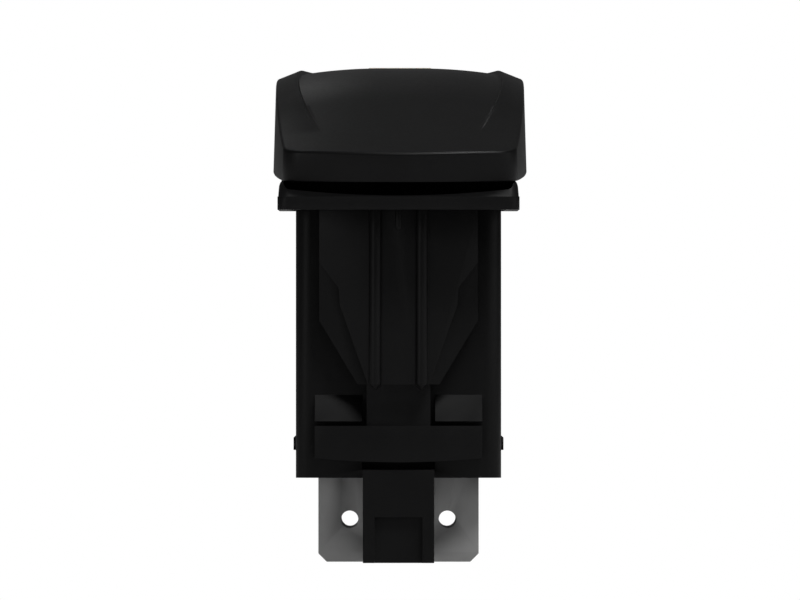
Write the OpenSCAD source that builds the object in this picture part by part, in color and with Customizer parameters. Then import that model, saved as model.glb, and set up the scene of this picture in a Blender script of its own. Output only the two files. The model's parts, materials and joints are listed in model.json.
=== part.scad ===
// Panel rocker switch: a snap-in two-pole switch with a sculpted paddle, push-on tabs and one lamp.
// X runs across the switch, Y along it and Z up. Z = 0 is the underside of the bezel flange, which
// is the face that sits on the panel. The paddle is drawn with its -Y end pressed.

/* [Bezel] */
// Width of the bezel flange
flange_w = 24.2; // [24:0.1:25]
// Length of the bezel flange
flange_l = 50.4; // [50:0.1:52]
// Thickness of the flange at its edge
flange_t = 1.3; // [1.1:0.05:1.5]
// Height of the rim at the long sides
rim_top = 2.95; // [2.8:0.05:3]
// Height of the rim at the middle of its dished ends
rim_low = 1.41; // [1.3:0.01:1.6]

/* [Housing] */
// Width of the housing below the panel
housing_w = 20.6; // [20.4:0.1:20.9]
// Length of the housing between its end walls
housing_l = 30.4; // [30:0.1:31]
// Depth of the housing below the panel
housing_h = 26.88; // [26:0.01:28]
// Wall thickness of the housing
wall = 1.4; // [1.2:0.1:1.5]
// Thickness of the housing floor that holds the tabs
floor_t = 2.5; // [2.2:0.1:3]

/* [Paddle] */
// Length of the paddle
paddle_l = 49; // [48:0.1:49.4]
// Width of the paddle at mid length
paddle_w = 25.56; // [25:0.01:25.8]
// Width of the paddle at its ends
paddle_end_w = 23.2; // [23:0.1:24]
// Height of the paddle's crest above its pivot
crest_h = 12.85; // [12.6:0.05:13.2]
// Slope of each half of the paddle's top, in degrees
half_slope = 11.5; // [11:0.1:12]
// Radius of the rounded crest between the two halves
crest_r = 50; // [40:1:60]
// Wall thickness of the paddle
paddle_wall = 1.1; // [0.9:0.1:1.3]
// Height of the raised shoulders beside the middle field
shoulder_step = 0.5; // [0.4:0.05:0.6]

/* [Movement] */
// Height of the paddle's pivot above the panel
pivot_z = 1; // [0.8:0.1:1.2]
// Tilt of the paddle to each side, in degrees
tilt = 9.8; // [9:0.1:10]
// Tilt of the moving contacts to each side, in degrees
contact_tilt = 8; // [7:0.5:9]
// Radius of the paddle's trunnions
trunnion_r = 1.5; // [1.3:0.1:1.6]
// Radial running clearance of trunnions and plungers
running_gap = 0.05; // [0.03:0.01:0.08]

/* [Terminals] */
// Width of a push-on tab
tab_w = 6.3; // [6.2:0.05:6.35]
// Thickness of a push-on tab
tab_t = 0.8; // [0.76:0.01:0.82]
// Length of the tabs below the housing
tab_len = 8.45; // [8:0.05:9]
// Radius of the hole in a tab
tab_hole_r = 0.86; // [0.8:0.01:0.9]
// Distance of a tab column's centre from the middle
tab_x = 4.9; // [4.9:0.05:5]
// Distance between two rows of tabs
row_pitch = 5.6; // [5.5:0.1:5.7]

/* [Hidden] */
$fn = 64;
e = 0.01;

// Bezel frame: rim with dished ends, window, coaming and collar. A rim level is a height, then how far
// the rim stands in from the flange at the sides and at the ends.
rim_levels = [[flange_t - e, 0.07, 0.1], [2.3, 0.15, 1.3], [2.65, 0.25, 1.8], [rim_top - e, 0.45, 6]];
rim_corner = 1.1;
dish_x = 10.8;
dish_rise = 0.6;
dish_r = (dish_x * dish_x + dish_rise * dish_rise) / (2 * dish_rise);
dish_side_x = 11.5;
dish_fillet = dish_side_x - dish_x;
pocket_w = 21.8;
pocket_l = 46.6;
pocket_z = 0.9;
window_w = 14.5;
window_l = 15.2;
coaming_wall = 0.6;
coaming_top = 3;
seat_w = 21.4;
seat_l = 40.4;
seat_d = 0.2;
collar_gap = 0.05;
collar_w = housing_w - 2 * wall - 2 * collar_gap;
collar_l = housing_l - 2 * wall - 2 * collar_gap;
collar_wall = 1.6;
collar_h = 7;
boss_r = 2.6;
boss_x = 11.8;

// End arms of the bezel frame: a tapered plate, a neck and a crossbar that hooks under the ramps
arm_front = 17.6;
arm_back = 16.4;
arm_x = 7.95;
arm_taper_z = -11.1;
arm_low_z = -17.5;
arm_low_x = 4.1;
neck_x = 3.2;
neck_front = 17.3;
bar_x = 8.4;
bar_top = -21.65;
bar_low = -25.3;
bar_sag = 0.42;
bar_front = 18.4;
bar_bulge = 0.7;
bar_back = housing_l / 2 + 0.1;

// Prow of each arm: a flat column between two beads, with swept wings
prow_y = 19.2;
column_x = 1.7;
bead_r = 0.62;
bead_x = 2.33;
bead_y = 19.12;
bead_tip_z = -18.05;
wing_root_x = 2.95;
wing_root_y = 19.05;
wing_tip_y = 17.75;
wing_outline = [[arm_x, 0], [arm_x, -5.25], [6, -7.85], [5.9, -9.5], [wing_root_x, -17.85]];
rib_r = 0.43;
rib_len = 1.65;
rib_set = 0.25;

// Housing details
corner_r = 1.5;
ramp_in = 3.65;
ramp_out = 8.4;
ramp_top = -18.55;
ramp_low = -21.2;
ramp_y = 17.5;
slot_x = 3.65;
slot_top = -25.1;
tongue_x = 3.58;
tongue_top = -26.05;
tongue_low = -35.4;
tongue_front = 17.9;
tongue_back = 13.2;
recess_x = 2.39;
recess_top = -30.8;
recess_d = 0.8;
nub_z = -23.4;
nub_h = 1.5;
nub_l = 7;
nub_out = 0.28;
nub_slope = 0.25;
slot_depth = 2.6;

// Paddle: crowned field, creased shoulders and bowed ends
end_y = paddle_l / 2;
slope_y = crest_r * sin(half_slope);
crown_flat = 2;
crown_r = 46;
crown_fade = 0.5;
end_bow_r = 33;
plan_corner_r = 1.6;
edge_r = 0.35;
side_draft = 0.3;
crease_x = 10;
crease_run = 1.95;
crease_end = 18;
crease_power = 1.64;
crease_w = 0.7;
apex_z = 2.9;
lip_low_z = 5.97;
side_play = 0.15;
lens_x = 3.2;
lens_y0 = 7.6;
lens_y1 = 17.2;
lens_proud = 0.05;
lens_gap = 0.04;
lens_h = 2;
lens_steps = 12;

// Actuator under the paddle
stem_x = 6.9;
stem_y = 5.5;
stem_low = -5;
plate_x = 10.9;
plate_y = 14.5;
plate_z = 6.9;
plate_t = 1.3;
block_x = 4;
block_y = 5;
block_top = 10.7;
thrust_r = 2.5;
thrust_x = 7.05;
barrel_r = 2;
barrel_low = -12;
plunger_r = 1.3;
bore_top = -2.5;
plunger_top = -8.6;
tip_r = 1;
tip_z = -16.1;

// Moving contacts: a bar that rocks on the middle terminal, its saddle follows the plunger's tip
bar_half = 6.4;
bar_w = 3;
bar_under = -0.2;
bar_seat = 0.7;
bar_peak = 1.75;
fulcrum_r = 0.3;
rest_gap = 0.05;
contact_z = pivot_z + tip_z - tip_r - rest_gap - bar_seat;
tip_over = pivot_z + tip_z - contact_z;
tip_side = -tip_z * sin(tilt);
tip_rise = tip_over - tip_z * (1 - cos(tilt));
path_y = tip_side * cos(contact_tilt) - tip_rise * sin(contact_tilt);
path_z = tip_side * sin(contact_tilt) + tip_rise * cos(contact_tilt) - tip_over;
path_r = (path_y * path_y + path_z * path_z) / (2 * path_z);
saddle_r = path_r + tip_r + rest_gap;
button_r = 1.1;
button_h = 0.5;
button_y = row_pitch * cos(contact_tilt) + (bar_under - button_h) * sin(contact_tilt);
button_z = contact_z - row_pitch * sin(contact_tilt) + (bar_under - button_h) * cos(contact_tilt);
fixed_top = button_z - 0.1;
fixed_r = 1.2;
dome_r = 5;
shelf_top = fixed_top - 0.8;
stem_w = 3.2;

// Tabs
tab_low = -housing_h - tab_len;
hole_z = -31.05;
tab_chamfer = 0.84;
tab_bevel = 0.22;
floor_z = -housing_h + floor_t;
slot_gap = 0.05;
shoulder_h = 1;
lamp_stem_top = -13.5;

// Lamp
board_y = 10.1;
board_w = 13;
board_l = 4;
board_t = 0.8;
board_z = -1.05;
led_r = 1.5;
led_top = 5.2;
wire_r = 0.3;

// Height of the paddle's top: a rounded ridge between two slopes, crowned less towards the ends
function ridge(y) = abs(y) < slope_y ? crest_r - sqrt(crest_r * crest_r - y * y)
    : crest_r * (1 - cos(half_slope)) + (abs(y) - slope_y) * tan(half_slope);
function crown(x, y) = let (t = max(0, abs(x) - crown_flat))
    (crown_r - sqrt(crown_r * crown_r - t * t)) * (1 - crown_fade * pow(y / end_y, 2));
function dome(x, y) = crest_h - ridge(y) - crown(x, y);
function underside(y) = apex_z + abs(y) / end_y * (lip_low_z - apex_z);
function crease(y) = crease_x - crease_run * pow(abs(y) / crease_end, crease_power);
function fade(y) = max(0, 1 - pow(y / crease_end, 2));
function half_width(y) = paddle_w / 2 - side_draft
    - (paddle_w / 2 - side_draft - paddle_end_w / 2) * pow(y / end_y, 2);
function bow(x) = x * x / (2 * end_bow_r);

// ---------------------------------------------------------------- plain shapes

// Rectangle with round corners, centred on the origin
module round_rect(w, l, r) {
    square([w - 2 * r, l], center = true);
    square([w, l - 2 * r], center = true);
    for (x = [-1, 1], y = [-1, 1])
        translate([x * (w / 2 - r), y * (l / 2 - r)]) circle(r);
}

// Outline in Y and Z drawn out along X, centred on x = 0
module across(width) {
    rotate([90, 0, 90]) translate([0, 0, -width / 2]) linear_extrude(width) children();
}

// Outline in X and Z drawn out along -Y from y_back to y_front
module outward(y_back, y_front) {
    translate([0, -y_back, 0]) rotate([90, 0, 0]) linear_extrude(y_front - y_back) children();
}

// Both ends of the switch
module both_ends() {
    children();
    mirror([0, 1, 0]) children();
}

// Places a piece of the tilted paddle assembly, which rests against one side of its end play
module on_paddle() {
    translate([side_play, 0, pivot_z]) rotate([tilt, 0, 0]) children();
}

// ---------------------------------------------------------------- bezel frame

// Flange with the raised rim, its ends sloped and dished across the width
module rim() {
    difference() {
        union() {
            linear_extrude(flange_t) round_rect(flange_w, flange_l, rim_corner);
            hull() for (level = rim_levels) translate([0, 0, level[0]]) linear_extrude(e)
                round_rect(flange_w - 2 * level[1], flange_l - 2 * level[2], rim_corner, $fn = 32);
        }
        outward(-flange_l, flange_l) {
            intersection() {
                translate([0, rim_low + dish_r]) circle(dish_r, $fn = 192);
                translate([-dish_x, 0]) square([2 * dish_x, 2 * rim_top]);
            }
            translate([0, rim_low + dish_rise + rim_top])
                round_rect(2 * dish_side_x, 2 * rim_top, dish_fillet);
        }
        translate([0, 0, pocket_z]) linear_extrude(flange_t + rim_top) round_rect(pocket_w, pocket_l, 2);
        translate([0, 0, -e]) linear_extrude(seat_d + e) round_rect(seat_w, seat_l, 1);
    }
}

// Coaming round the window, which keeps splashes out of the switch
module coaming() {
    translate([0, 0, e]) linear_extrude(coaming_top)
        square([window_w + 2 * coaming_wall, window_l + 2 * coaming_wall], center = true);
}

// Collar that plugs into the housing
module collar() {
    translate([0, 0, -collar_h]) linear_extrude(collar_h + seat_d + e) difference() {
        round_rect(collar_w, collar_l, 0.6);
        round_rect(collar_w - 2 * collar_wall, collar_l - 2 * collar_wall, 0.4);
    }
}

// Bosses over the trunnion bearings
module bosses() {
    intersection() {
        translate([0, 0, pivot_z]) rotate([0, 90, 0]) cylinder(2 * boss_x, r = boss_r, center = true);
        translate([-flange_w, -flange_w, seat_d + e]) cube([2 * flange_w, 2 * flange_w, flange_w]);
    }
}

// Swept wings, column and beads that hold the panel's edge
module prow() {
    intersection() {
        translate([0, 0, arm_low_z]) linear_extrude(-arm_low_z + seat_d / 2) polygon([
            [-arm_x, -arm_back - 0.2], [-arm_x, -wing_tip_y], [-wing_root_x, -wing_root_y], [-column_x, -prow_y],
            [column_x, -prow_y], [wing_root_x, -wing_root_y], [arm_x, -wing_tip_y], [arm_x, -arm_back - 0.2]]);
        outward(arm_back, prow_y + 1) polygon(concat(
            wing_outline, [for (i = [len(wing_outline) - 1:-1:0]) [-wing_outline[i][0], wing_outline[i][1]]]));
    }
    for (side = [-1, 1]) translate([side * bead_x, -bead_y, 0]) {
        translate([0, 0, arm_low_z]) cylinder(-arm_low_z, r = bead_r);
        translate([0, 0, bead_tip_z]) cylinder(arm_low_z - bead_tip_z, r1 = 0.12, r2 = bead_r);
    }
    translate([0, rib_set - prow_y, -rib_len]) {
        cylinder(rib_len, r = rib_r);
        sphere(rib_r);
    }
}

// One end arm, drawn at the -Y end
module end_arm() {
    outward(arm_back, arm_front) polygon([
        [-arm_x, seat_d + e], [arm_x, seat_d + e], [arm_x, arm_taper_z], [arm_low_x, arm_low_z],
        [-arm_low_x, arm_low_z], [-arm_x, arm_taper_z]]);
    outward(arm_back, neck_front) translate([-neck_x, bar_top - e]) square([2 * neck_x, arm_low_z - bar_top + 2 * e]);
    prow();
    bulge_r = (bar_x * bar_x + bar_bulge * bar_bulge) / (2 * bar_bulge);
    sag_r = (bar_x * bar_x + bar_sag * bar_sag) / (2 * bar_sag);
    intersection() {
        translate([0, -bar_front + bulge_r, bar_low - 1]) cylinder(bar_top - bar_low + 2, r = bulge_r, $fn = 128);
        outward(bar_back, bar_front + 1) intersection() {
            translate([-bar_x, bar_low]) square([2 * bar_x, bar_top - bar_low]);
            translate([0, bar_low + sag_r]) circle(sag_r, $fn = 128);
        }
    }
}

module bezel_frame() {
    color([0.045, 0.045, 0.05]) {
        difference() {
            union() {
                rim();
                collar();
                bosses();
                coaming();
            }
            cube([window_w, window_l, 4 * boss_r], center = true);
            translate([0, 0, pivot_z]) rotate([0, 90, 0])
                cylinder(collar_w + 0.1, r = trunnion_r + running_gap, center = true);
            translate([0, board_y, 0]) cylinder(4 * flange_t, r = led_r + 0.35, center = true);
        }
        both_ends() end_arm();
    }
}

// ---------------------------------------------------------------- housing

// Ramps that the crossbar snaps behind
module ramps() {
    for (x = [-1, 1]) translate([x * (ramp_in + ramp_out) / 2, 0, 0]) across(ramp_out - ramp_in)
        polygon([[-housing_l / 2 + e, ramp_top], [-ramp_y, ramp_low], [-housing_l / 2 + e, ramp_low]]);
}

// Keying tongue between the tab columns, with the recess in its face
module tongue() {
    difference() {
        translate([-tongue_x, -tongue_front, tongue_low])
            cube([2 * tongue_x, tongue_front - tongue_back, tongue_top - tongue_low]);
        translate([-recess_x, -tongue_front - e, tongue_low - e])
            cube([2 * recess_x, recess_d + e, recess_top - tongue_low]);
    }
}

// Lock nubs for the connector on the long sides
module nubs() {
    for (x = [0, 1]) mirror([x, 0, 0]) translate([housing_w / 2, 0, nub_z]) rotate([90, 0, 0])
        linear_extrude(nub_l, center = true) polygon([
            [-e, -nub_h / 2], [nub_out, -nub_h / 2], [nub_out, nub_h / 2 - nub_slope], [-e, nub_h / 2]]);
}

module housing() {
    color([0.04, 0.04, 0.045]) difference() {
        union() {
            translate([0, 0, -housing_h]) linear_extrude(housing_h + seat_d)
                round_rect(housing_w, housing_l, corner_r);
            both_ends() {
                ramps();
                tongue();
            }
            nubs();
        }
        translate([0, 0, floor_z]) linear_extrude(housing_h) round_rect(
            housing_w - 2 * wall, housing_l - 2 * wall, 0.6);
        both_ends() translate([-slot_x, -housing_l / 2 - e, tongue_top])
            cube([2 * slot_x, slot_depth, slot_top - tongue_top]);
        for (x = [-1, 1], row = [-2:2]) translate([x * tab_x, row * row_pitch, -housing_h - e])
            linear_extrude(floor_t + 2 * e) square([tab_w + 2 * slot_gap, tab_t + 2 * slot_gap], center = true);
    }
}

// ---------------------------------------------------------------- paddle

// The paddle is one shell: a grid over the top, carried down the sides, back up inside and closed
// at the bottom edge. Columns follow the window, the crease and the side; rows follow the window.
field_cells = 5;
shoulder_cells = 4;
columns = concat(
    [for (i = [0:2]) [0, i / 3]],
    [for (i = [0:field_cells - 1]) [1, i / field_cells]],
    [[2, 0]],
    [for (i = [0:shoulder_cells]) [3, i / shoulder_cells]]);
half_rows = concat(
    [0, 2.5, 5, lens_y0],
    [for (i = [1:4]) lens_y0 + (lens_y1 - lens_y0) * i / 4],
    [18.8, 20.4, 21.8, end_y - plan_corner_r],
    [for (a = [18:18:90]) end_y - plan_corner_r + plan_corner_r * sin(a)]);
row_ys = concat([for (i = [len(half_rows) - 1:-1:1]) -half_rows[i]], half_rows);
column_n = 2 * len(columns) - 1;
row_n = len(row_ys);
window_j0 = len(half_rows) - 1 + 3;
window_j1 = window_j0 + 4;
window_i0 = len(columns) - 1 - 3;
window_i1 = len(columns) - 1 + 3;

// Rounding of the plan corners, as a loss of half width near the ends
function corner_loss(y, r) = let (d = abs(y) - (end_y - r)) d <= 0 ? 0 : r - sqrt(max(0, r * r - d * d));
// Half width at a row, for a surface lying inset inside the outer skin
function row_half(y, inset) = half_width(y) - corner_loss(y, plan_corner_r) - inset;
// Place of a column across a row
function column_x_at(c, y, inset) = let (
    w = row_half(y, inset), k = min(crease(y), w - 1.2), half = crease_w / 2)
    c[0] == 0 ? lens_x * c[1]
    : c[0] == 1 ? lens_x + (k - half - lens_x) * c[1]
    : c[0] == 2 ? k - half
    : k + half + (w - k - half) * c[1];
function shoulder(c, y) = c[0] < 3 ? 0 : shoulder_step * fade(y) * (1 - c[1]);

// Row place for a surface lying inset inside the outer skin; rows beside the window stay put
function pulled(y, inset) = y - sign(y) * inset * max(0, abs(y) - lens_y1) / (end_y - lens_y1);
// Grid point: i runs across, j along; inset and drop make the inner skin
function grid_point(i, j, inset, drop) =
    let (m = i - (len(columns) - 1), c = columns[abs(m)], y = row_ys[j],
        x = sign(m) * column_x_at(c, y, inset),
        yy = pulled(y, inset) - sign(y) * bow(x) * pow(abs(y) / end_y, 3))
    [x, yy, dome(x, yy) + (drop > paddle_wall ? 0 : shoulder(c, y)) - drop];
// Points round the edge of the top, inset and lowered
function edge_points(inset, drop) = [for (q = ring_ij) grid_point(q[0], q[1], inset, drop)];

// Ring of grid indices round the edge of the top, counter-clockwise seen from above
ring_ij = concat(
    [for (i = [0:column_n - 1]) [i, 0]],
    [for (j = [1:row_n - 1]) [column_n - 1, j]],
    [for (i = [column_n - 2:-1:0]) [i, row_n - 1]],
    [for (j = [row_n - 2:-1:1]) [0, j]]);
ring_n = len(ring_ij);

// Points at the foot of the wall; the sides flare a little towards mid length
function foot_points(inset, flare) = [for (p = edge_points(inset, 0))
    [p[0] * (1 + flare * (1 - pow(p[1] / end_y, 2)) / (paddle_w / 2)), p[1], underside(p[1])]];

outer_top = [for (j = [0:row_n - 1], i = [0:column_n - 1]) grid_point(i, j, edge_r, 0)];
inner_top = [for (j = [0:row_n - 1], i = [0:column_n - 1]) grid_point(i, j, paddle_wall, paddle_wall + 0.5)];
edge_mid = edge_points(edge_r * 0.3, edge_r * 0.3);
edge_low = edge_points(0, edge_r);
foot_out = foot_points(0, side_draft);
foot_in = foot_points(paddle_wall, 0);

grid_n = row_n * column_n;
function grid_at(q) = q[1] * column_n + q[0];
function in_window(i, j) = i >= window_i0 && i < window_i1 && j >= window_j0 && j < window_j1;
function quad(a, b, c, d) = [[a, b, c], [a, c, d]];
function flat(lists) = [for (l = lists) for (x = l) x];
function band(from, to) = flat([for (k = [0:ring_n - 1]) let (n = (k + 1) % ring_n) quad(
    from[k], to[k], to[n], from[n])]);
// Wall round the lens window, joining the outer and inner skins
window_ring = concat(
    [for (i = [window_i0:window_i1 - 1]) [i, window_j0]],
    [for (j = [window_j0:window_j1 - 1]) [window_i1, j]],
    [for (i = [window_i1:-1:window_i0 + 1]) [i, window_j1]],
    [for (j = [window_j1:-1:window_j0 + 1]) [window_i0, j]]);

top_ring = [for (q = ring_ij) grid_at(q)];
mid_ring = [for (k = [0:ring_n - 1]) 2 * grid_n + k];
low_ring = [for (k = [0:ring_n - 1]) 2 * grid_n + ring_n + k];
foot_ring = [for (k = [0:ring_n - 1]) 2 * grid_n + 2 * ring_n + k];
foot_in_ring = [for (k = [0:ring_n - 1]) 2 * grid_n + 3 * ring_n + k];
inner_ring = [for (q = ring_ij) grid_n + grid_at(q)];

module paddle_shell() {
    outer_faces = flat([for (j = [0:row_n - 2], i = [0:column_n - 2]) if (!in_window(i, j)) quad(
        grid_at([i, j]), grid_at([i, j + 1]), grid_at([i + 1, j + 1]), grid_at([i + 1, j]))]);
    inner_faces = flat([for (j = [0:row_n - 2], i = [0:column_n - 2]) if (!in_window(i, j)) quad(
        grid_n + grid_at([i, j]), grid_n + grid_at([i + 1, j]),
        grid_n + grid_at([i + 1, j + 1]), grid_n + grid_at([i, j + 1]))]);
    window_faces = flat([for (k = [0:len(window_ring) - 1])
        let (a = grid_at(window_ring[k]), b = grid_at(window_ring[(k + 1) % len(window_ring)]))
        quad(b, a, grid_n + a, grid_n + b)]);
    polyhedron(
        concat(outer_top, inner_top, edge_mid, edge_low, foot_out, foot_in),
        concat(outer_faces, inner_faces, window_faces,
            band(mid_ring, top_ring), band(low_ring, mid_ring), band(foot_ring, low_ring),
            band(foot_in_ring, foot_ring), band(inner_ring, foot_in_ring)));
}

module rocker_cap() {
    color([0.06, 0.06, 0.065]) on_paddle() paddle_shell();
}

// Clear bar in the paddle's window, its top following the paddle's and standing a little proud
module lens() {
    y0 = lens_y0 + lens_gap;
    y1 = lens_y1 - lens_gap;
    low = dome(0, y1) - lens_h;
    color([0.85, 0.82, 0.7]) on_paddle() across(2 * (lens_x - lens_gap)) polygon(concat(
        [[y1, low], [y0, low]],
        [for (i = [0:lens_steps]) let (y = y0 + (y1 - y0) * i / lens_steps) [y, dome(0, y) + lens_proud]]));
}

module actuator() {
    color([0.12, 0.12, 0.13]) on_paddle() difference() {
        union() {
            translate([-stem_x, -stem_y, stem_low]) cube([2 * stem_x, 2 * stem_y, plate_z - stem_low + e]);
            translate([0, 0, plate_z]) linear_extrude(plate_t) round_rect(2 * plate_x, 2 * plate_y, 1);
            translate([-block_x, -block_y, plate_z]) cube([2 * block_x, 2 * block_y, block_top - plate_z]);
            rotate([0, 90, 0]) cylinder(2 * thrust_x, r = thrust_r, center = true);
            for (x = [-1, 1]) translate([x * tab_x, 0, barrel_low]) cylinder(stem_low - barrel_low + e, r = barrel_r);
            rotate([0, 90, 0]) cylinder(collar_w - 0.2, r = trunnion_r, center = true);
        }
        for (x = [-1, 1]) translate([x * tab_x, 0, barrel_low - e])
            cylinder(bore_top - barrel_low, r = plunger_r + running_gap);
        translate([-lens_x - 0.4, lens_y0 - 0.8, plate_z - e])
            cube([2 * lens_x + 0.8, plate_y - lens_y0 - 0.8, plate_t + 2 * e]);
    }
}

module plunger(side) {
    color([0.85, 0.84, 0.78]) on_paddle() translate([side * tab_x, 0, 0]) {
        translate([0, 0, tip_z]) sphere(tip_r);
        translate([0, 0, tip_z]) cylinder(1.2, r1 = tip_r, r2 = plunger_r);
        translate([0, 0, tip_z + 1.2]) cylinder(plunger_top - tip_z - 1.2, r = plunger_r);
        translate([0, 0, plunger_top - e]) cylinder(1.5, r = 0.55);
    }
}

// Coil spring: a ring swept up a helix
spring_turns = 7;
spring_r = 0.95;
spring_wire = 0.16;
spring_sides = 6;
spring_steps = 14;
module plunger_spring(side) {
    n = spring_turns * spring_steps;
    low = plunger_top + spring_wire + 0.02;
    rise = bore_top - low - spring_wire - 0.02;
    pts = [for (k = [0:n], s = [0:spring_sides - 1])
        let (a = 360 * k / spring_steps, b = 360 * s / spring_sides, r = spring_r + spring_wire * cos(b))
        [r * cos(a), r * sin(a), low + rise * k / n + spring_wire * sin(b)]];
    sides = flat([for (k = [0:n - 1], s = [0:spring_sides - 1])
        let (t = (s + 1) % spring_sides)
        quad(k * spring_sides + s, (k + 1) * spring_sides + s, (k + 1) * spring_sides + t, k * spring_sides + t)]);
    ends = [[for (s = [0:spring_sides - 1]) s],
        [for (s = [spring_sides - 1:-1:0]) n * spring_sides + s]];
    color([0.7, 0.7, 0.72]) on_paddle() translate([side * tab_x, 0, 0]) polyhedron(pts, concat(sides, ends));
}

// ---------------------------------------------------------------- moving contacts

// Places a piece of a moving contact, tilted with its +Y end down
module on_contact(side) {
    translate([side * tab_x, 0, contact_z]) rotate([-contact_tilt, 0, 0]) children();
}

module moving_contact(side) {
    color([0.72, 0.45, 0.2]) on_contact(side) across(bar_w) difference() {
        polygon([[-bar_half, bar_under], [bar_half, bar_under], [bar_half, bar_seat], [bar_half - 2, bar_peak],
            [2 - bar_half, bar_peak], [-bar_half, bar_seat]]);
        translate([0, bar_seat + saddle_r]) circle(saddle_r, $fn = 128);
        circle(fulcrum_r + running_gap);
        translate([-fulcrum_r - running_gap, -1]) square([2 * (fulcrum_r + running_gap), 1]);
    }
}

module moving_tip(side, end) {
    color([0.86, 0.86, 0.84]) on_contact(side)
        translate([0, end * row_pitch, bar_under - button_h]) cylinder(button_h, r = button_r);
}

// ---------------------------------------------------------------- terminals

// Tab below the floor and the foot that stands on the floor; children go on top of it
module tab(side, row) {
    color([0.78, 0.78, 0.76]) translate([side * tab_x, row * row_pitch, 0]) {
        intersection() {
            rotate([90, 0, 0]) linear_extrude(tab_t, center = true) difference() {
                polygon([[-tab_w / 2 + tab_chamfer, tab_low], [tab_w / 2 - tab_chamfer, tab_low],
                    [tab_w / 2, tab_low + tab_chamfer], [tab_w / 2, floor_z + shoulder_h],
                    [-tab_w / 2, floor_z + shoulder_h], [-tab_w / 2, tab_low + tab_chamfer]]);
                translate([0, hole_z]) circle(tab_hole_r);
            }
            across(tab_w + 1) polygon([[-tab_t / 2 + tab_bevel, tab_low], [tab_t / 2 - tab_bevel, tab_low],
                [tab_t / 2, tab_low + 1], [tab_t / 2, floor_z + 2], [-tab_t / 2, floor_z + 2],
                [-tab_t / 2, tab_low + 1]]);
        }
        children();
    }
}

// Upright strip from the foot to a height
module strip(top) {
    translate([-stem_w / 2, -tab_t / 2, floor_z + shoulder_h - e])
        cube([stem_w, tab_t, top - floor_z - shoulder_h + e]);
}

// Middle terminal: knife edge and cheeks that cradle the moving contact
module cradle_terminal(side) {
    cheek = bar_w / 2 + 0.1;
    tab(side, 0) {
        strip(contact_z - 0.9);
        translate([-bar_w / 2, -0.25, contact_z - 0.9 - e]) cube([bar_w, 0.5, 0.9]);
        translate([0, 0, contact_z]) rotate([0, 90, 0]) cylinder(bar_w, r = fulcrum_r, center = true);
        for (x = [0, 1]) mirror([x, 0, 0]) {
            translate([cheek, -tab_t / 2, contact_z - 1.7]) cube([0.5, tab_t, 2.4]);
            translate([0, -tab_t / 2, contact_z - 1.7]) cube([cheek + e, tab_t, 0.8]);
        }
    }
}

// End terminal: strip bent over into a shelf under the fixed contact
module shelf_terminal(side, row) {
    tab(side, row) {
        strip(shelf_top - e);
        translate([-stem_w / 2, -1.5, shelf_top - tab_t]) cube([stem_w, 3, tab_t]);
    }
}

module fixed_tip(side, row) {
    color([0.86, 0.86, 0.84]) translate([side * tab_x, row * button_y, 0]) intersection() {
        translate([0, 0, shelf_top]) cylinder(1, r = fixed_r);
        translate([0, 0, fixed_top - dome_r]) sphere(dome_r, $fn = 96);
    }
}

// Lamp terminal: strip with a forked end that holds the lamp wire
module lamp_terminal(side, row) {
    tab(side, row) difference() {
        strip(lamp_stem_top);
        translate([0, 0, lamp_stem_top - 2]) translate([-wire_r, -1, 0]) cube([2 * wire_r, 2, 3]);
    }
}

// ---------------------------------------------------------------- lamp

module lamp_board() {
    color([0.05, 0.25, 0.12]) difference() {
        translate([-board_w / 2, board_y - board_l / 2, board_z]) cube([board_w, board_l, board_t]);
        for (x = [-1, 1]) translate([x * tab_x, 2 * row_pitch, board_z - 1]) cylinder(4, r = wire_r + 0.02);
    }
}

module lamp_led() {
    dome_z = led_top - led_r - board_z - board_t;
    color([0.95, 0.9, 0.6]) translate([0, board_y, board_z + board_t]) {
        cylinder(0.6, r = led_r + 0.25);
        cylinder(dome_z, r = led_r);
        translate([0, 0, dome_z]) sphere(led_r);
    }
}

module lamp_resistor() {
    color([0.75, 0.65, 0.5]) translate([0, board_y, board_z - 0.6]) rotate([0, 90, 0]) {
        cylinder(2.2, r = 0.5, center = true);
        for (z = [-1, 1]) translate([0, 0, z * 1.2]) cylinder(0.8, r = 0.6, center = true);
    }
}

module lamp_wire(side) {
    low = lamp_stem_top - 1.7;
    color([0.8, 0.8, 0.8]) translate([side * tab_x, 2 * row_pitch, low])
        cylinder(board_z + board_t + 0.15 - low, r = wire_r - 0.02);
}

bezel_frame();
housing();
rocker_cap();
lens();
actuator();
plunger(-1);  // plunger_left
plunger(1);  // plunger_right
plunger_spring(-1);  // plunger_spring_left
plunger_spring(1);  // plunger_spring_right
moving_contact(-1);  // moving_contact_left
moving_contact(1);  // moving_contact_right
moving_tip(-1, -1);  // moving_tip_left_near
moving_tip(-1, 1);  // moving_tip_left_far
moving_tip(1, -1);  // moving_tip_right_near
moving_tip(1, 1);  // moving_tip_right_far
shelf_terminal(-1, -1);  // terminal_1
cradle_terminal(-1);  // terminal_2
shelf_terminal(-1, 1);  // terminal_3
shelf_terminal(1, -1);  // terminal_4
cradle_terminal(1);  // terminal_5
shelf_terminal(1, 1);  // terminal_6
lamp_terminal(-1, 2);  // lamp_terminal_1
lamp_terminal(1, 2);  // lamp_terminal_2
lamp_terminal(-1, -2);  // lamp_terminal_3
lamp_terminal(1, -2);  // lamp_terminal_4
fixed_tip(-1, -1);  // fixed_tip_1
fixed_tip(-1, 1);  // fixed_tip_3
fixed_tip(1, -1);  // fixed_tip_4
fixed_tip(1, 1);  // fixed_tip_6
lamp_board();
lamp_led();
lamp_resistor();
lamp_wire(-1);  // lamp_wire_left
lamp_wire(1);  // lamp_wire_right
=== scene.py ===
import json
import math

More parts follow.
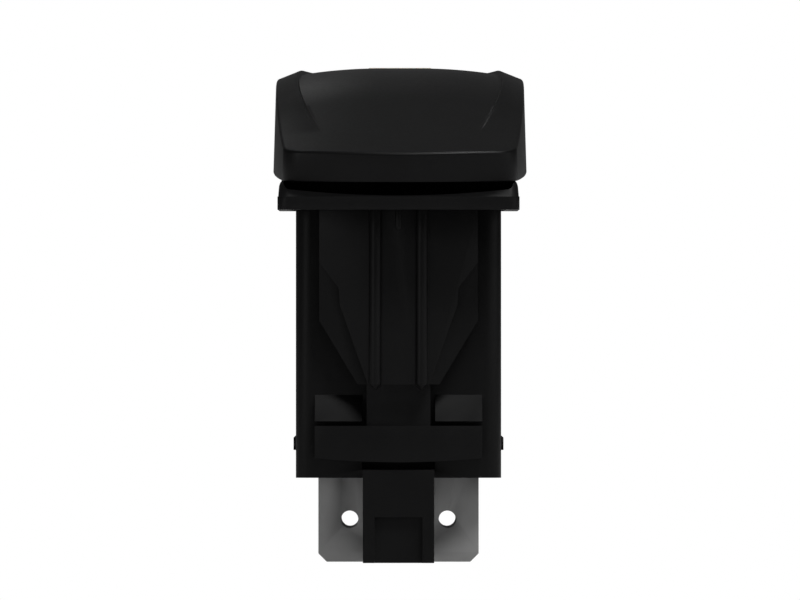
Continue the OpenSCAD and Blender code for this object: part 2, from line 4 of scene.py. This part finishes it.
import bmesh
import bpy
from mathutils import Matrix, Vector


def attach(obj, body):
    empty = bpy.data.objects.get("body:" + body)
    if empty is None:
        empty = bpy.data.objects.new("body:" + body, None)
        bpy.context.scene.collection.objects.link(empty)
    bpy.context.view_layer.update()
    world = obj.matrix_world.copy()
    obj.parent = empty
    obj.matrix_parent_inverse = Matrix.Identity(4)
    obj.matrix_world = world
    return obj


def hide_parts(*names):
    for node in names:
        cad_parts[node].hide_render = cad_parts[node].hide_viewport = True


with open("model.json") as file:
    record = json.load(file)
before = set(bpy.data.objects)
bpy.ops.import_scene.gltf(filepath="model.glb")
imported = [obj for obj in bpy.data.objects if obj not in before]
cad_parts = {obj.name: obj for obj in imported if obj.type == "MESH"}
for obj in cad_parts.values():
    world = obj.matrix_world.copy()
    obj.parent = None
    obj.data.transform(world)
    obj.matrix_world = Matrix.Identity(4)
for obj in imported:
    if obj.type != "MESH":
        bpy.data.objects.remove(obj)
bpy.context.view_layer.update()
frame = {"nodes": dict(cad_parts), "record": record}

MM = 0.001
nodes = frame["nodes"]
body_of_node = {n: b for b, members in frame["record"]["behaviour"]["bodies"].items() for n in members}
slot_of_node = {s["node"]: s["material_slot"] for s in frame["record"]["subparts"]}


# ---------------------------------------------------------------- shader helpers

class Shader:
    """A material built from nodes, with the texture space in millimetres."""

    def __init__(self, name):
        self.material = bpy.data.materials.new(name)
        self.material.use_nodes = True
        self.tree = self.material.node_tree
        self.tree.nodes.clear()
        self.output = self.node("ShaderNodeOutputMaterial")
        self.bsdf = self.node("ShaderNodeBsdfPrincipled")
        self.link(self.bsdf.outputs["BSDF"], self.output.inputs["Surface"])
        place = self.node("ShaderNodeTexCoord")
        scale = self.node("ShaderNodeMapping")
        scale.inputs["Scale"].default_value = (1000, 1000, 1000)
        self.link(place.outputs["Object"], scale.inputs["Vector"])
        self.space = scale.outputs["Vector"]

    def node(self, kind):
        return self.tree.nodes.new(kind)

    def link(self, a, b):
        self.tree.links.new(a, b)

    def stretch(self, x, y, z):
        """The millimetre space scaled along its axes, for drawn or flowed grain."""
        n = self.node("ShaderNodeMapping")
        n.inputs["Scale"].default_value = (x, y, z)
        self.link(self.space, n.inputs["Vector"])
        return n.outputs["Vector"]

    def noise(self, scale, detail=3.0, roughness=0.55, space=None):
        n = self.node("ShaderNodeTexNoise")
        n.inputs["Scale"].default_value = scale
        n.inputs["Detail"].default_value = detail
        n.inputs["Roughness"].default_value = roughness
        self.link(space or self.space, n.inputs["Vector"])
        return n.outputs["Fac"]

    def ranged(self, value, low, high, start=0.3, end=0.7):
        """Maps a noise value to the range low to high."""
        n = self.node("ShaderNodeMapRange")
        n.inputs["From Min"].default_value = start
        n.inputs["From Max"].default_value = end
        n.inputs["To Min"].default_value = low
        n.inputs["To Max"].default_value = high
        self.link(value, n.inputs["Value"])
        return n.outputs["Result"]

    def ramp(self, value, stops):
        n = self.node("ShaderNodeValToRGB")
        ramp = n.color_ramp
        while len(ramp.elements) < len(stops):
            ramp.elements.new(0.5)
        for element, (place, colour) in zip(ramp.elements, stops):
            element.position = place
            element.color = (*colour, 1)
        self.link(value, n.inputs["Fac"])
        return n.outputs["Color"]

    def math(self, operation, a, b):
        n = self.node("ShaderNodeMath")
        n.operation = operation
        for socket, value in zip(n.inputs, (a, b)):
            if isinstance(value, (int, float)):
                socket.default_value = value
            else:
                self.link(value, socket)
        return n.outputs["Value"]

    def bump(self, height, distance_mm, strength):
        n = self.node("ShaderNodeBump")
        n.inputs["Distance"].default_value = distance_mm * MM
        n.inputs["Strength"].default_value = strength
        self.link(height, n.inputs["Height"])
        return n.outputs["Normal"]

    def set(self, **values):
        """Sets or links inputs of the surface shader; underscores stand for spaces."""
        for key, value in values.items():
            socket = self.bsdf.inputs[key.replace("_", " ")]
            if isinstance(value, bpy.types.NodeSocket):
                self.link(value, socket)
            else:
                socket.default_value = value
        return self.material


def moulded_plastic(name, dark, light, rough, grain, specular=0.5):
    """Moulded plastic: cloudy tint, fine spark-eroded grain and faint flow marks."""
    s = Shader(name)
    cloud = s.noise(0.35, 4)
    flow = s.noise(0.5, 3, space=s.stretch(1, 1, 0.15))
    tint = s.math("ADD", s.math("MULTIPLY", cloud, 0.6), s.math("MULTIPLY", flow, 0.4))
    fine = s.noise(9, 2, 0.6)
    return s.set(
        Base_Color=s.ramp(tint, [(0.3, dark), (0.7, light)]),
        Roughness=s.ranged(s.noise(3, 2), rough - 0.02, rough + 0.02),
        Specular_IOR_Level=specular,
        Normal=s.bump(fine, 0.01, grain))


def tinned_metal(name, dark, light, rough, axis_stretch):
    """Plated strip: fine drawn grain, soft cloudy plating and slightly uneven gloss."""
    s = Shader(name)
    grain = s.noise(2.5, 3, space=s.stretch(*axis_stretch))
    cloud = s.noise(0.25, 2)
    tint = s.math("ADD", s.math("MULTIPLY", grain, 0.35), s.math("MULTIPLY", cloud, 0.65))
    return s.set(
        Base_Color=s.ramp(tint, [(0.3, dark), (0.7, light)]),
        Metallic=0.85,
        Roughness=s.ranged(grain, rough - 0.03, rough + 0.04),
        Normal=s.bump(grain, 0.004, 0.15))


def clear_plastic(name, tint, rough):
    """Tinted lamp window: cloudy tint, partly light-passing, with slightly uneven gloss all over."""
    s = Shader(name)
    cloud = s.noise(0.8, 3)
    deep = tuple(c * 0.9 for c in tint)
    return s.set(
        Base_Color=s.ramp(cloud, [(0.3, deep), (0.7, tint)]),
        Roughness=s.ranged(s.noise(5, 2), rough - 0.05, rough + 0.05),
        Transmission_Weight=0.35,
        Subsurface_Weight=0.2,
        Subsurface_Scale=0.001,
        Normal=s.bump(s.noise(7, 2), 0.01, 0.08))


# The black mouldings share one tint, gloss, grain and specular level
SATIN_BLACK = ((0.0015, 0.0015, 0.0016), (0.0022, 0.0022, 0.0023), 0.48, 0.1, 0.085)
SMOOTH_BLACK = ((0.0016, 0.0016, 0.0017), (0.0024, 0.0024, 0.0025), 0.36, 0.05, 0.085)

finishes = {
    "frame_plastic": moulded_plastic("frame_plastic", *SATIN_BLACK),
    "housing_plastic": moulded_plastic("housing_plastic", *SATIN_BLACK),
    "paddle_plastic": moulded_plastic("paddle_plastic", *SMOOTH_BLACK),
    "inner_plastic": moulded_plastic("inner_plastic", (0.05, 0.05, 0.055), (0.07, 0.07, 0.075), 0.5, 0.2),
    "plunger_plastic": moulded_plastic("plunger_plastic", (0.6, 0.58, 0.5), (0.7, 0.68, 0.6), 0.4, 0.1),
    "lens_plastic": clear_plastic("lens_plastic", (0.62, 0.58, 0.47), 0.35),
    "led_resin": clear_plastic("led_resin", (0.9, 0.88, 0.8), 0.12),
    "board": moulded_plastic("board", (0.01, 0.09, 0.03), (0.015, 0.13, 0.05), 0.35, 0.1),
    "resistor_body": moulded_plastic("resistor_body", (0.4, 0.32, 0.18), (0.5, 0.4, 0.24), 0.35, 0.1),
    "tinned_brass": tinned_metal(
        "tinned_brass", (0.17, 0.17, 0.169), (0.2, 0.2, 0.199), 0.65, (2.5, 2.5, 0.4)),
    "spring_steel": tinned_metal("spring_steel", (0.5, 0.5, 0.51), (0.62, 0.62, 0.63), 0.28, (1, 1, 1)),
    "copper": tinned_metal("copper", (0.6, 0.3, 0.17), (0.75, 0.4, 0.24), 0.3, (0.4, 2, 2)),
    "silver_tip": tinned_metal(
        "silver_tip", (0.75, 0.74, 0.7), (0.85, 0.84, 0.8), 0.25, (1.5, 1.5, 1.5)),
    "tinned_wire": tinned_metal("tinned_wire", (0.6, 0.6, 0.6), (0.7, 0.7, 0.7), 0.25, (2, 2, 0.3)),
}


# ---------------------------------------------------------------- pieces

def finish_piece(piece, replaced):
    """Joins a new piece to its body and material, and hides the CAD node it stands for."""
    node = replaced[0]
    piece.data.materials.clear()
    piece.data.materials.append(finishes[slot_of_node[node]])
    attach(piece, body_of_node[node])
    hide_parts(*replaced)
    return piece


def new_object(name, mesh):
    piece = bpy.data.objects.new(name, mesh)
    bpy.context.scene.collection.objects.link(piece)
    return piece


def rounded_copy(node, radius, segments=3, angle=25):
    """The CAD solid's own faces, merged flat and given moulded round edges."""
    bm = bmesh.new()
    bm.from_mesh(nodes[node].data)
    bmesh.ops.remove_doubles(bm, verts=bm.verts, dist=2e-6)
    bmesh.ops.dissolve_limit(bm, angle_limit=math.radians(0.5), verts=bm.verts, edges=bm.edges)
    mesh = bpy.data.meshes.new(node + "_piece")
    bm.to_mesh(mesh)
    bm.free()
    mesh.polygons.foreach_set("use_smooth", [True] * len(mesh.polygons))
    piece = new_object(node + "_piece", mesh)
    bevel = piece.modifiers.new("edges", "BEVEL")
    bevel.width = radius * MM
    bevel.segments = segments
    bevel.limit_method = "ANGLE"
    bevel.angle_limit = math.radians(angle)
    bevel.use_clamp_overlap = True
    bevel.harden_normals = True
    return finish_piece(piece, [node])


# Paddle in millimetres: the CAD source's form, with narrower creases and a crisper edge
PIVOT_Z = 1.0
TILT = math.radians(9.8)
SIDE_PLAY = 0.15
HALF_L = 24.48
HALF_W = 12.51
HALF_END_W = 11.6
CREST_H = 12.85
SLOPE = math.radians(11.5)
CREST_R = 50.0
CROWN_FLAT = 2.0
CROWN_R = 46.0
CROWN_FADE = 0.5
BOW_R = 33.0
CORNER_R = 1.6
EDGE_R = 0.25
FOOT_R = 0.12
WALL = 1.1
CEILING = 1.6
DRAFT = 0.26
STEP = 0.54
CREASE_X = 10.3
CREASE_RUN = 2.25
CREASE_END = 18.0
CREASE_POWER = 1.9
CREASE_W = 0.3
APEX_Z = 2.9
LIP_Z = 5.97
LENS_X = 3.2
LENS_Y = (7.6, 17.2)


def dome(x, y):
    """Height of the crowned, two-slope top without its shoulders."""
    y = abs(y)
    ridge = CREST_R * math.sin(SLOPE)
    if y < ridge:
        fall = CREST_R - math.sqrt(CREST_R ** 2 - y * y)
    else:
        fall = CREST_R * (1 - math.cos(SLOPE)) + (y - ridge) * math.tan(SLOPE)
    t = max(0, abs(x) - CROWN_FLAT)
    crown = (CROWN_R - math.sqrt(CROWN_R ** 2 - t * t)) * (1 - CROWN_FADE * (y / HALF_L) ** 2)
    return CREST_H - fall - crown


def half_width(y):
    d = abs(y) - (HALF_L - CORNER_R)
    corner = 0 if d <= 0 else CORNER_R - math.sqrt(max(0, CORNER_R ** 2 - d * d))
    return HALF_W - (HALF_W - HALF_END_W) * (y / HALF_L) ** 2 - corner


def smooth_step(t):
    t = min(1, max(0, t))
    return t * t * (3 - 2 * t)


def paddle_piece():
    """The paddle's shell on one fine grid: top, rounded edge, sides, foot and inner skin."""
    cols = [("mid", t / 4) for t in range(5)]
    cols += [("field", t / 14) for t in range(1, 15)]
    cols += [("crease", t / 4) for t in range(1, 5)]
    cols += [("shoulder", t / 8) for t in range(1, 9)]
    half_ys = [0, 0.8, 1.6, 2.4, 3.2, 4, 4.8, 5.6, 6.4, 7.1, LENS_Y[0]]
    half_ys += [LENS_Y[0] + (LENS_Y[1] - LENS_Y[0]) * t / 10 for t in range(1, 11)]
    half_ys += [17.8, 18.4, 19, 19.6, 20.1, 20.6, 21.1, 21.6, 22.1, 22.5, HALF_L - CORNER_R]
    half_ys += [HALF_L - CORNER_R + CORNER_R * math.sin(math.radians(a)) for a in range(9, 91, 9)]
    ys = [-y for y in half_ys[:0:-1]] + half_ys
    n_c, n_r = 2 * len(cols) - 1, len(ys)
    mid_c, mid_r = len(cols) - 1, len(half_ys) - 1

    def point(i, j, inset, drop, shoulders=True):
        kind, t = cols[abs(i - mid_c)]
        side = 1 if i >= mid_c else -1
        y = ys[j]
        w = half_width(y) - inset
        k = min(CREASE_X - CREASE_RUN * (abs(y) / CREASE_END) ** CREASE_POWER, w - 1.2)
        fade = max(0, 1 - (y / CREASE_END) ** 2)
        lift = 0
        if kind == "mid":
            x = LENS_X * t
        elif kind == "field":
            x = LENS_X + (k - CREASE_W / 2 - LENS_X) * t
        elif kind == "crease":
            x = k - CREASE_W / 2 + CREASE_W * t
            lift = STEP * fade * smooth_step(t)
        else:
            x = k + CREASE_W / 2 + (w - k - CREASE_W / 2) * t
            lift = STEP * fade * (1 - t)
        x *= side
        pull = inset * max(0, abs(y) - LENS_Y[1]) / (HALF_L - LENS_Y[1])
        end = math.copysign(1, y) if y else 0
        yy = y - end * pull - end * x * x / (2 * BOW_R) * (abs(y) / HALF_L) ** 3
        return Vector((x, yy, dome(x, yy) + (lift if shoulders else 0) - drop))

    border = [(i, 0) for i in range(n_c)] + [(n_c - 1, j) for j in range(1, n_r)]
    border += [(i, n_r - 1) for i in range(n_c - 2, -1, -1)] + [(0, j) for j in range(n_r - 2, 0, -1)]
    window = {(i, j) for i in range(mid_c - 4, mid_c + 4) for j in range(mid_r + 10, mid_r + 20)}

    bm = bmesh.new()

    def grid(inset, drop, shoulders):
        rows = [[bm.verts.new(point(i, j, inset, drop, shoulders)) for i in range(n_c)] for j in range(n_r)]
        return rows

    def skin(rows, flip):
        for j in range(n_r - 1):
            for i in range(n_c - 1):
                if (i, j) not in window:
                    f = [rows[j][i], rows[j][i + 1], rows[j + 1][i + 1], rows[j + 1][i]]
                    bm.faces.new(f[::-1] if flip else f)

    def join(upper, lower):
        n = len(upper)
        for k in range(n):
            bm.faces.new([upper[k], lower[k], lower[(k + 1) % n], upper[(k + 1) % n]])

    def foot(inset, flare, rise):
        ring = []
        for i, j in border:
            p = point(i, j, inset, 0)
            p.x *= 1 + flare * (1 - (p.y / HALF_L) ** 2) / (HALF_W + DRAFT)
            p.z = APEX_Z + abs(p.y) / HALF_L * (LIP_Z - APEX_Z) + rise
            ring.append(bm.verts.new(p))
        return ring

    outer = grid(EDGE_R, 0, True)
    inner = grid(WALL, CEILING, False)
    skin(outer, False)
    skin(inner, True)
    rings = [[outer[j][i] for i, j in border]]
    for a in range(18, 91, 18):
        a = math.radians(a)
        rings.append([bm.verts.new(point(i, j, EDGE_R * (1 - math.sin(a)), EDGE_R * (1 - math.cos(a))))
            for i, j in border])
    rings.append(foot(0, DRAFT, FOOT_R))
    rings.append(foot(FOOT_R * 0.29, DRAFT, FOOT_R * 0.29))
    rings.append(foot(FOOT_R, DRAFT, 0))
    rings.append(foot(WALL, 0, 0))
    rings.append([inner[j][i] for i, j in border])
    for a, b in zip(rings, rings[1:]):
        join(a, b)
    edge = [(i, mid_r + 10) for i in range(mid_c - 4, mid_c + 4)]
    edge += [(mid_c + 4, j) for j in range(mid_r + 10, mid_r + 20)]
    edge += [(i, mid_r + 20) for i in range(mid_c + 4, mid_c - 4, -1)]
    edge += [(mid_c - 4, j) for j in range(mid_r + 20, mid_r + 10, -1)]
    join([inner[j][i] for i, j in edge], [outer[j][i] for i, j in edge])
    cos, sin = math.cos(TILT), math.sin(TILT)
    for v in bm.verts:
        x, y, z = v.co
        v.co = Vector((x + SIDE_PLAY, y * cos - z * sin, y * sin + z * cos + PIVOT_Z)) * MM
    bm.normal_update()
    mesh = bpy.data.meshes.new("paddle_shell")
    bm.to_mesh(mesh)
    bm.free()
    mesh.polygons.foreach_set("use_smooth", [True] * len(mesh.polygons))
    mesh.set_sharp_from_angle(angle=math.radians(40))
    return finish_piece(new_object("paddle_shell", mesh), ["rocker_cap"])


paddle_piece()
rounded_copy("bezel_frame", 0.12)
rounded_copy("housing", 0.15)
rounded_copy("lens", 0.1)
for name in nodes:
    if name.startswith(("terminal_", "lamp_terminal_")):
        rounded_copy(name, 0.06, 2)

for name, node in nodes.items():
    node.data.materials.clear()
    node.data.materials.append(finishes[slot_of_node[name]])


# ---------------------------------------------------------------- stage, light and camera

FLOOR_RADIUS = 0.6
FLOOR_Z = -0.047
WORLD_LEVEL = 0.115

# Camera: metres from the switch, picture scale in pixels per millimetre, and the picture's width
DISTANCE = 2.5
SCALE = 9.91
PICTURE_W = 800
SENSOR_W = 36
CAMERA_X = 0.00015
CAMERA_Z = -0.00904


def lamp(name, place, target, size, power):
    """Soft rectangular studio lamp; places and sizes in metres."""
    light = bpy.data.lights.new(name, "AREA")
    light.shape = "RECTANGLE"
    light.size, light.size_y = size
    light.energy = power
    o = bpy.data.objects.new(name, light)
    bpy.context.scene.collection.objects.link(o)
    o.location = place
    o.rotation_euler = (Vector(target) - Vector(place)).to_track_quat("-Z", "Y").to_euler()


def stage_floor():
    """Pale studio floor a little below the switch, which is shown as held in a panel."""
    bm = bmesh.new()
    bmesh.ops.create_circle(bm, cap_ends=True, segments=96, radius=FLOOR_RADIUS)
    mesh = bpy.data.meshes.new("floor")
    bm.to_mesh(mesh)
    bm.free()
    floor = new_object("floor", mesh)
    floor.location = (0, 0, FLOOR_Z)
    s = Shader("floor_paper")
    s.set(Base_Color=(0.82, 0.82, 0.82, 1), Roughness=0.8, Specular_IOR_Level=0.1)
    mesh.materials.append(s.material)


def white_backdrop(level):
    """World that lights the object at a plain level and shows pure white behind it."""
    world = bpy.data.worlds.new("studio")
    bpy.context.scene.world = world
    world.use_nodes = True
    tree = world.node_tree
    tree.nodes.clear()
    out = tree.nodes.new("ShaderNodeOutputWorld")
    mix = tree.nodes.new("ShaderNodeMixShader")
    path = tree.nodes.new("ShaderNodeLightPath")
    seen = tree.nodes.new("ShaderNodeBackground")
    seen.inputs["Color"].default_value = (1, 1, 1, 1)
    seen.inputs["Strength"].default_value = 1
    lit = tree.nodes.new("ShaderNodeBackground")
    lit.inputs["Color"].default_value = (1, 1, 1, 1)
    lit.inputs["Strength"].default_value = level
    tree.links.new(path.outputs["Is Camera Ray"], mix.inputs["Fac"])
    tree.links.new(lit.outputs["Background"], mix.inputs[1])
    tree.links.new(seen.outputs["Background"], mix.inputs[2])
    tree.links.new(mix.outputs["Shader"], out.inputs["Surface"])


stage_floor()
white_backdrop(WORLD_LEVEL)
lamp("front_top", (0.2, -0.4, 0.6), (0, 0, -0.01), (0.2, 0.15), 4.6)
lamp("top", (0.12, 0.12, 0.7), (0, 0, -0.01), (0.12, 0.08), 1.5)
lamp("key_left", (-0.5, -0.5, 0.03), (0, 0, -0.01), (0.25, 0.3), 1.1)
lamp("front", (0.12, -0.6, 0.25), (0, 0, -0.01), (0.3, 0.15), 0.2)
lamp("back_left", (-0.08, 0.56, 0.34), (0, 0, 0), (0.08, 0.08), 0.027)
lamp("right", (0.55, -0.18, 0.06), (0, 0, 0), (0.15, 0.4), 0.46)
lamp("right_front", (0.42, -0.42, 0.1), (0, 0, 0), (0.2, 0.4), 0.42)

camera = bpy.data.objects.new("camera", bpy.data.cameras.new("camera"))
bpy.context.scene.collection.objects.link(camera)
camera.data.sensor_width = SENSOR_W
camera.data.lens = SCALE * DISTANCE / MM * SENSOR_W / PICTURE_W
camera.location = (CAMERA_X, -DISTANCE, CAMERA_Z)
camera.rotation_euler = (math.radians(90), 0, 0)
camera.data.clip_end = 50
bpy.context.scene.camera = camera
bpy.context.scene.view_settings.view_transform = "Standard"
